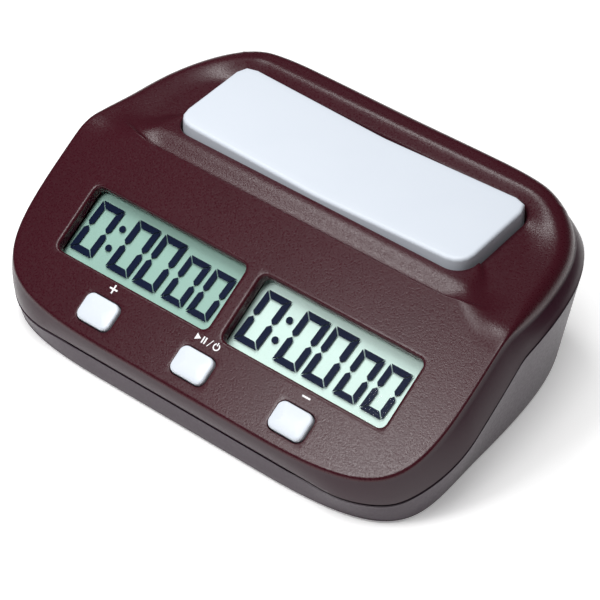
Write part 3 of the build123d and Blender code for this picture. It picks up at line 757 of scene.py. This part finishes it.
def build_prints():
    """White signs over the buttons: plus, play / pause / power, minus."""
    v = SIGN_V
    shapes = [
        bar(-BUTTON_SPACING, v, 1.3, 0.25),
        bar(-BUTTON_SPACING, v + 0.775, 0.25, 0.525),
        bar(-BUTTON_SPACING, v - 0.775, 0.25, 0.525),
        bar(BUTTON_SPACING, v, 1.3, 0.25),
    ]
    shapes.append([(-4.0, v - 0.95), (-2.3, v), (-4.0, v + 0.95)])
    shapes += [bar(-1.6, v, 0.22, 0.95), bar(-0.8, v, 0.22, 0.95), bar(0.8, v, 0.12, 1.15, 0.5)]
    outer, inner = arc_band((3.0, v - 0.05), 0.9, 0.36, 118, 422)
    shapes += [np.vstack([outer[i : i + 2], inner[i : i + 2][::-1]]) for i in range(len(outer) - 1)]
    shapes.append(bar(3.0, v + 0.75, 0.18, 0.5))
    return flat_shapes("button_signs", shapes, 0.0, 0.03, MATERIALS["print"])


def finish_nodes():
    """Gives every CAD node that stays in view the finish of its slot."""
    slots = {entry["node"]: entry["material_slot"] for entry in frame["record"]["subparts"]}
    for name, node in frame["nodes"].items():
        node.data.materials.clear()
        node.data.materials.append(MATERIALS[slots[name]])


# ---------------------------------------------------------------- stage


CAMERA_AZIMUTH, CAMERA_ELEVATION = math.radians(38.344), math.radians(43.03)
CAMERA_PLACE = (0.3069, -0.387, 0.4705)
CAMERA_LENS = 147.6
FLOOR_HALF = 6.0
FLOOR_GLOW = 0.3


def build_stage(sizes):
    """Pale floor that glows a little, a broad light overhead, two small soft boxes whose reflections lie on the
    face and in the hollow behind the crease, dim surroundings, and the camera."""
    mesh = bpy.data.meshes.new("floor")
    corners = [(-1, -1), (1, -1), (1, 1), (-1, 1)]
    mesh.from_pydata([(x * FLOOR_HALF, y * FLOOR_HALF, 0) for x, y in corners], [], [(0, 1, 2, 3)])
    floor = bpy.data.objects.new("floor", mesh)
    bpy.context.scene.collection.objects.link(floor)
    material, _, shader = new_material("pale_floor")
    shader.inputs["Base Color"].default_value = (0.92, 0.92, 0.92, 1)
    shader.inputs["Roughness"].default_value = 0.9
    shader.inputs["Emission Color"].default_value = (1, 1, 1, 1)
    shader.inputs["Emission Strength"].default_value = FLOOR_GLOW
    mesh.materials.append(material)
    for name, place, size, power in (
        ("key", (-0.045, -0.178, 0.262), 0.1, sizes.key_light),
        ("back key", (-0.229, 0.17, 0.56), 0.16, sizes.back_light),
        ("ceiling", (0.1, -0.15, 1.8), 1.0, sizes.ceiling_light),
    ):
        light = bpy.data.lights.new(name, "AREA")
        light.size = size
        light.energy = power
        lamp = bpy.data.objects.new(name, light)
        lamp.location = place
        lamp.rotation_euler = (-Vector(place)).to_track_quat("-Z", "Y").to_euler()
        bpy.context.scene.collection.objects.link(lamp)
    world = bpy.data.worlds.new("soft_white")
    world.use_nodes = True
    world.node_tree.nodes["Background"].inputs["Color"].default_value = (1, 1, 1, 1)
    world.node_tree.nodes["Background"].inputs["Strength"].default_value = sizes.world_light
    bpy.context.scene.world = world
    bpy.context.scene.view_settings.view_transform = "Standard"

    level = math.cos(CAMERA_ELEVATION)
    back = Vector(
        (math.sin(CAMERA_AZIMUTH) * level, -math.cos(CAMERA_AZIMUTH) * level, math.sin(CAMERA_ELEVATION))
    )
    right = Vector((math.cos(CAMERA_AZIMUTH), math.sin(CAMERA_AZIMUTH), 0))
    up = back.cross(right)
    data = bpy.data.cameras.new("camera")
    data.lens = CAMERA_LENS
    data.sensor_width = 36
    camera = bpy.data.objects.new("camera", data)
    turn = Matrix((right, up, back)).transposed().to_4x4()
    camera.matrix_world = Matrix.Translation(Vector(CAMERA_PLACE)) @ turn
    bpy.context.scene.collection.objects.link(camera)
    bpy.context.scene.camera = camera


# ---------------------------------------------------------------- add-on


class ClockSizes(bpy.types.PropertyGroup):
    """Sizes a maker would change. The plain numbers are millimetres."""

    window_width: FloatProperty(
        name="Window width",
        description="Width of each display window",
        default=0.0531,
        unit="LENGTH",
    )
    window_height: FloatProperty(
        name="Window height",
        description="Height of each display window",
        default=0.0208,
        unit="LENGTH",
    )
    shoulder: FloatProperty(
        name="Shoulder height",
        description="Height of the rim around the lever, mm",
        default=41.1,
    )
    pan_floor: FloatProperty(
        name="Pan floor",
        description="Height of the floor around the lever, mm",
        default=40.75,
    )
    dip: FloatProperty(name="Hollow", description="Fall of the top just behind the crease, mm", default=1.7)
    rise: FloatProperty(
        name="Rise",
        description="How far the hollow comes up again beside the lever, mm",
        default=1.25,
    )
    crown: FloatProperty(
        name="Button crown",
        description="How far a button's middle rises over its edge, mm",
        default=0.35,
    )
    key_light: FloatProperty(
        name="Key light",
        description="Power of the small soft box over the front, W",
        default=0.42,
    )
    back_light: FloatProperty(
        name="Back light",
        description="Power of the soft box over the back left, W",
        default=0.9,
    )
    ceiling_light: FloatProperty(
        name="Ceiling light",
        description="Power of the broad light overhead, W",
        default=20.0,
    )
    world_light: FloatProperty(
        name="World light",
        description="Strength of the dim surroundings",
        default=0.06,
    )


def sizes_of(context):
    """The scene's own copy of the sizes."""
    return context.scene.chess_clock


class CLOCK_OT_materials(bpy.types.Operator):
    """Makes the finishes and puts them on the frame's nodes"""

    bl_idname = "clock.materials"
    bl_label = "Finishes"

    def execute(self, context):
        make_materials()
        finish_nodes()
        return {"FINISHED"}


class CLOCK_OT_case_top(bpy.types.Operator):
    """Builds the top shell's skin with its openings, pan and band"""

    bl_idname = "clock.case_top"
    bl_label = "Case top"

    def execute(self, context):
        build_case_top(sizes_of(context))
        return {"FINISHED"}


class CLOCK_OT_base_side(bpy.types.Operator):
    """Builds the base's outer wall"""

    bl_idname = "clock.base_side"
    bl_label = "Base side"

    def execute(self, context):
        build_base_side()
        return {"FINISHED"}


class CLOCK_OT_lever(bpy.types.Operator):
    """Builds the see-saw lever's cap"""

    bl_idname = "clock.lever"
    bl_label = "Lever"

    def execute(self, context):
        build_lever()
        return {"FINISHED"}


class CLOCK_OT_buttons(bpy.types.Operator):
    """Builds the three push-button caps"""

    bl_idname = "clock.buttons"
    bl_label = "Buttons"

    def execute(self, context):
        build_buttons(sizes_of(context))
        return {"FINISHED"}


class CLOCK_OT_displays(bpy.types.Operator):
    """Builds both displays"""

    bl_idname = "clock.displays"
    bl_label = "Displays"

    def execute(self, context):
        build_displays()
        return {"FINISHED"}


class CLOCK_OT_prints(bpy.types.Operator):
    """Builds the printed signs"""

    bl_idname = "clock.prints"
    bl_label = "Prints"

    def execute(self, context):
        build_prints()
        return {"FINISHED"}


class CLOCK_OT_stage(bpy.types.Operator):
    """Builds the floor, the lights and the camera"""

    bl_idname = "clock.stage"
    bl_label = "Stage"

    def execute(self, context):
        build_stage(sizes_of(context))
        return {"FINISHED"}


STEPS = (
    CLOCK_OT_materials,
    CLOCK_OT_case_top,
    CLOCK_OT_base_side,
    CLOCK_OT_lever,
    CLOCK_OT_buttons,
    CLOCK_OT_displays,
    CLOCK_OT_prints,
    CLOCK_OT_stage,
)


class CLOCK_PT_panel(bpy.types.Panel):
    """Lists the build steps."""

    bl_idname = "CLOCK_PT_panel"
    bl_label = "Chess Clock"
    bl_space_type = "VIEW_3D"
    bl_region_type = "UI"
    bl_category = "Chess Clock"

    def draw(self, context):
        for name in ClockSizes.__annotations__:
            self.layout.prop(sizes_of(context), name)
        for step in STEPS:
            self.layout.operator(step.bl_idname)


CLASSES = (ClockSizes, *STEPS, CLOCK_PT_panel)


def register():
    for each in CLASSES:
        bpy.utils.register_class(each)
    bpy.types.Scene.chess_clock = PointerProperty(type=ClockSizes)


def unregister():
    del bpy.types.Scene.chess_clock
    for each in reversed(CLASSES):
        bpy.utils.unregister_class(each)


def main():
    """Builds everything in order."""
    register()
    for step in STEPS:
        group, name = step.bl_idname.split(".")
        getattr(getattr(bpy.ops, group), name)()


if __name__ == "__main__":
    main()
